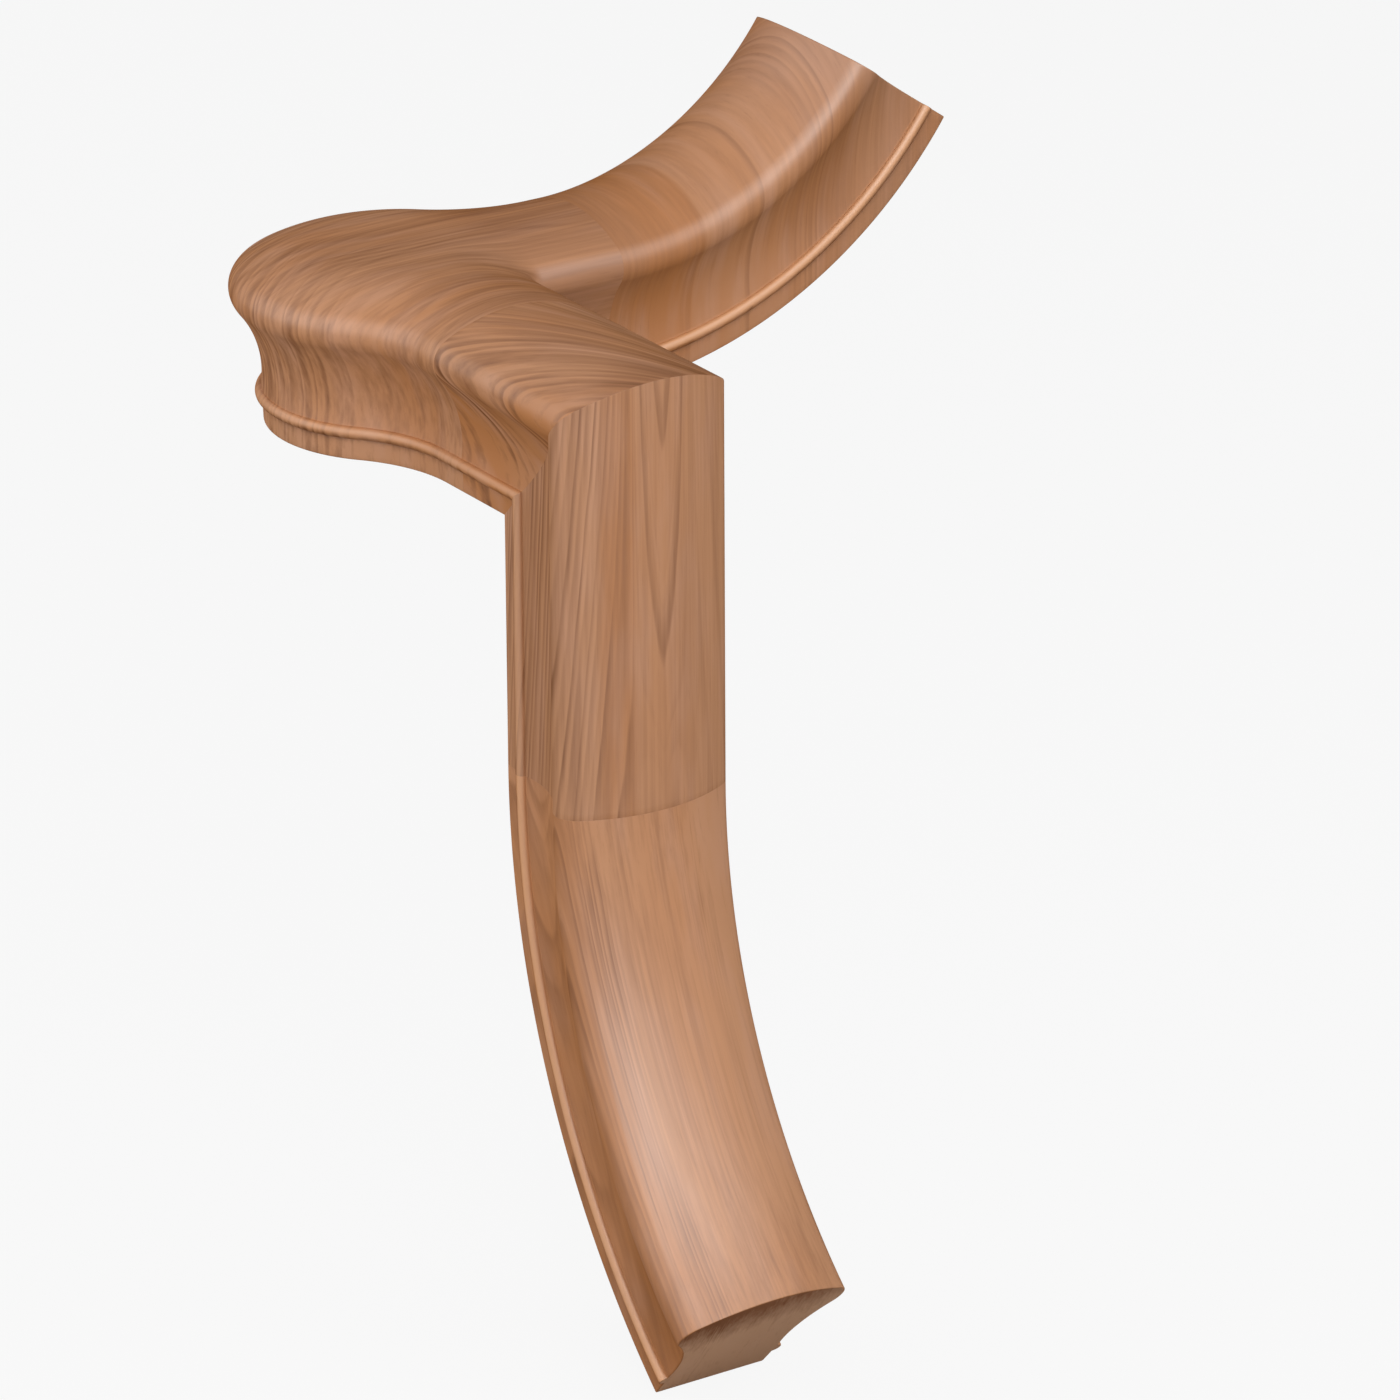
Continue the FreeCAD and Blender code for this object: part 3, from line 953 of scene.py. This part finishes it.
class GOOSENECK_OT_rails(bpy.types.Operator):
    """Make the level rail and the drop, mitred to each other"""
    bl_idname = "gooseneck.rails"
    bl_label = "Mitred rails"

    def execute(self, context):
        scene = context.scene
        section, plan = scene.gooseneck_section, scene.gooseneck_plan

        def level_place(share, u, v):
            """Level from the joint to the mitre plane x = mitre + v."""
            x = plan.rail_joint + share * (plan.mitre + v - plan.rail_joint)
            return np.stack(np.broadcast_arrays(x, u, v), axis=-1)

        def drop_place(share, u, v):
            """Upright from the joint to the mitre plane z = v, with the crown towards +X."""
            z = plan.drop_joint + share * (v - plan.drop_joint)
            return np.stack(np.broadcast_arrays(plan.mitre + v, u, z), axis=-1)

        level_length = plan.mitre - plan.rail_joint + section.height / 2
        drop_length = section.height / 2 - plan.drop_joint
        level = carried_rail(
            "level_block", section, level_place, level_length, LEVEL_STATIONS, plan.seam, plan.seam)
        drop = carried_rail(
            "drop_block", section, drop_place, drop_length, DROP_STATIONS, plan.seam, plan.seam)
        dress(level, "level", "level_rail", scene)
        dress(drop, "drop", "drop_rail", scene)
        return {"FINISHED"}


class GOOSENECK_OT_easings(bpy.types.Operator):
    """Make the lower and the upper easing, each a section turned about an axis on the side of its crown"""
    bl_idname = "gooseneck.easings"
    bl_label = "Easings"

    def execute(self, context):
        scene = context.scene
        section, plan = scene.gooseneck_section, scene.gooseneck_plan
        crown_x = plan.mitre + section.height

        def lower_place(share, u, v):
            """Down from the drop and out towards +X, about an axis along Y beyond the crown."""
            radius = plan.lower_radius + section.height - v
            angle = share * plan.lower_turn
            x = crown_x + plan.lower_radius - radius * np.cos(angle)
            z = plan.drop_joint - radius * np.sin(angle)
            return np.stack(np.broadcast_arrays(x, u, z), axis=-1)

        def upper_place(share, u, v):
            """Away from the cap towards +Y and up, about an axis along X above the crown."""
            radius = plan.upper_radius + section.height - v
            angle = share * plan.upper_turn
            y = plan.easing_joint + radius * np.sin(angle)
            z = section.height + plan.upper_radius - radius * np.cos(angle)
            return np.stack(np.broadcast_arrays(u, y, z), axis=-1)

        lower_length = plan.lower_turn * (plan.lower_radius + section.height / 2)
        upper_length = plan.upper_turn * (plan.upper_radius + section.height / 2)
        eases = (plan.seam, plan.end_arris)
        lower = carried_rail("lower_block", section, lower_place, lower_length, LOWER_STATIONS, *eases)
        upper = carried_rail("upper_block", section, upper_place, upper_length, UPPER_STATIONS, *eases)
        dress(lower, "lower", "lower_easing", scene)
        dress(upper, "upper", "upper_easing", scene)
        return {"FINISHED"}


class GOOSENECK_OT_dowels(bpy.types.Operator):
    """Give the dowel pins inside the joints their own plain hardwood"""
    bl_idname = "gooseneck.dowels"
    bl_label = "Dowel pins"

    def execute(self, context):
        timber = context.scene.gooseneck_timber
        for name, fibre in DOWELS.items():
            radial = Vector(fibre).orthogonal()
            grain = Grain(
                radial=radial, fibre=fibre, start=(0, 0, 0), rings=DOWEL_RINGS, tone=1.1, wander=0.4,
                seed=2.2)
            material = wood(name + "_grain", grain, timber)
            for slot in frame["nodes"][name].material_slots:
                slot.material = material
        return {"FINISHED"}


class Lamp(NamedTuple):
    """A soft lamp: azimuth from +X and elevation in degrees, power in watts, and width in metres."""
    name: str
    azimuth: float
    elevation: float
    power: float
    width: float


LAMPS = (
    Lamp("key_lamp", -25, 46, 16, 1.8),
    Lamp("left_lamp", -85, 29, 15.5, 2.4),
    Lamp("front_lamp", -18, 24, 15.5, 1.2),
    Lamp("right_lamp", 34, 40, 14, 1.6),
    Lamp("low_lamp", -130, 16, 22, 2.4),
    Lamp("back_lamp", -165, 28, 8, 2.4),
    Lamp("top_lamp", 58, 52, 3, 1.2),
)
LAMP_DISTANCE = 2.2

# The floor's half width and its gap under the part, in metres, and how much of its light is its own to the
# camera
FLOOR_REACH = 6.0
FLOOR_GAP = 0.5 * MM
FLOOR_GLOW = 0.9
FLOOR_GREY = (0.5, 0.5, 0.5, 1)
WHITE = (1, 1, 1, 1)
SURROUND_LIGHT = 0.03

# Width of the camera's film in millimetres, and how far it sees in metres
FILM_WIDTH = 36
FAR_SIGHT = 50


def direction(azimuth, elevation):
    """The unit vector at an azimuth about Z from +X and an elevation above the horizon, in radians."""
    level = math.cos(elevation)
    return Vector((level * math.cos(azimuth), level * math.sin(azimuth), math.sin(elevation)))


class GOOSENECK_OT_stage(bpy.types.Operator):
    """Set up the pale floor, the soft light and the camera"""
    bl_idname = "gooseneck.stage"
    bl_label = "Stage"

    def execute(self, context):
        scene = context.scene
        stage = scene.gooseneck_stage
        scene.view_settings.view_transform = "Standard"
        self.floor(scene)
        self.world(scene)
        self.lamps(scene)
        self.camera(scene, stage)
        return {"FINISHED"}

    def floor(self, scene):
        """A wide pale floor under the lowest corner; the camera sees it nearly white, with the shadow."""
        level = CAD_BOX[0].z - FLOOR_GAP
        corners = [(FLOOR_REACH * x, FLOOR_REACH * y, level) for x, y in ((-1, -1), (1, -1), (1, 1), (-1, 1))]
        mesh = bpy.data.meshes.new("floor")
        mesh.from_pydata(corners, [], [(0, 1, 2, 3)])
        floor = bpy.data.objects.new("floor", mesh)
        scene.collection.objects.link(floor)
        material = bpy.data.materials.new("pale_floor")
        material.use_nodes = True
        material.node_tree.nodes.clear()
        shade = Shade(material.node_tree)
        paint = shade.node("ShaderNodeBsdfDiffuse", {"Color": FLOOR_GREY})
        glow = shade.node("ShaderNodeEmission", {"Color": WHITE, "Strength": 1.0})
        surface = shade.node("ShaderNodeMixShader", {0: self.seen(shade) * FLOOR_GLOW, 1: paint, 2: glow})
        shade.node("ShaderNodeOutputMaterial", {"Surface": surface})
        mesh.materials.append(material)

    def seen(self, shade):
        """1 for rays from the camera, and for mirrored and transmitted ones, else 0."""
        camera = shade.node("ShaderNodeLightPath", out="Is Camera Ray")
        glossy = shade.node("ShaderNodeLightPath", out="Is Glossy Ray")
        through = shade.node("ShaderNodeLightPath", out="Is Transmission Ray")
        return camera.math("MAXIMUM", glossy).math("MAXIMUM", through)

    def world(self, scene):
        """A white surround for the camera and a soft grey one for the light."""
        world = bpy.data.worlds.new("studio")
        world.use_nodes = True
        world.node_tree.nodes.clear()
        shade = Shade(world.node_tree)
        strength = self.seen(shade) * (1 - SURROUND_LIGHT) + SURROUND_LIGHT
        back = shade.node("ShaderNodeBackground", {"Color": WHITE, "Strength": strength})
        shade.node("ShaderNodeOutputWorld", {"Surface": back})
        scene.world = world

    def lamps(self, scene):
        """Large soft lamps, each aimed at the middle of the part."""
        middle = (CAD_BOX[0] + CAD_BOX[1]) / 2
        for lamp in LAMPS:
            light = bpy.data.lights.new(lamp.name, "AREA")
            light.size = lamp.width
            light.energy = lamp.power
            holder = bpy.data.objects.new(lamp.name, light)
            place = LAMP_DISTANCE * direction(math.radians(lamp.azimuth), math.radians(lamp.elevation))
            holder.location = middle + place
            holder.rotation_euler = place.to_track_quat("Z", "Y").to_euler()
            scene.collection.objects.link(holder)

    def camera(self, scene, stage):
        """A camera with a long lens, at the given direction and distance from its aim."""
        back = direction(stage.azimuth, stage.elevation)
        right = Vector((-math.sin(stage.azimuth), math.cos(stage.azimuth), 0))
        upright = back.cross(right)
        turn_cos, turn_sin = math.cos(stage.roll), math.sin(stage.roll)
        rolled_right = right * turn_cos + upright * turn_sin
        rolled_up = upright * turn_cos - right * turn_sin
        view = bpy.data.cameras.new("camera")
        view.lens = stage.lens
        view.sensor_width = FILM_WIDTH
        view.sensor_fit = "HORIZONTAL"
        view.clip_end = FAR_SIGHT
        camera = bpy.data.objects.new("camera", view)
        frame_axes = Matrix((rolled_right, rolled_up, back)).transposed().to_4x4()
        camera.matrix_world = Matrix.Translation(Vector(stage.aim) + back * stage.distance) @ frame_axes
        scene.collection.objects.link(camera)
        scene.camera = camera


class GOOSENECK_PT_panel(bpy.types.Panel):
    """Buttons for every step"""
    bl_idname = "GOOSENECK_PT_panel"
    bl_label = "Gooseneck"
    bl_space_type = "VIEW_3D"
    bl_region_type = "UI"
    bl_category = "Gooseneck"

    def draw(self, context):
        for operator in OPERATORS:
            self.layout.operator(operator.bl_idname)


OPERATORS = (
    GOOSENECK_OT_cap, GOOSENECK_OT_rails, GOOSENECK_OT_easings, GOOSENECK_OT_dowels, GOOSENECK_OT_stage)
GROUPS = {
    "gooseneck_section": GooseneckSection,
    "gooseneck_plan": GooseneckPlan,
    "gooseneck_timber": GooseneckTimber,
    "gooseneck_stage": GooseneckStage,
}


def register():
    for kind in (*GROUPS.values(), *OPERATORS, GOOSENECK_PT_panel):
        bpy.utils.register_class(kind)
    for name, kind in GROUPS.items():
        setattr(bpy.types.Scene, name, PointerProperty(type=kind))


def unregister():
    for name in GROUPS:
        delattr(bpy.types.Scene, name)
    for kind in (GOOSENECK_PT_panel, *reversed(OPERATORS), *reversed(GROUPS.values())):
        bpy.utils.unregister_class(kind)


def main():
    register()
    bpy.ops.gooseneck.cap()
    bpy.ops.gooseneck.rails()
    bpy.ops.gooseneck.easings()
    bpy.ops.gooseneck.dowels()
    bpy.ops.gooseneck.stage()


if __name__ == "__main__":
    main()
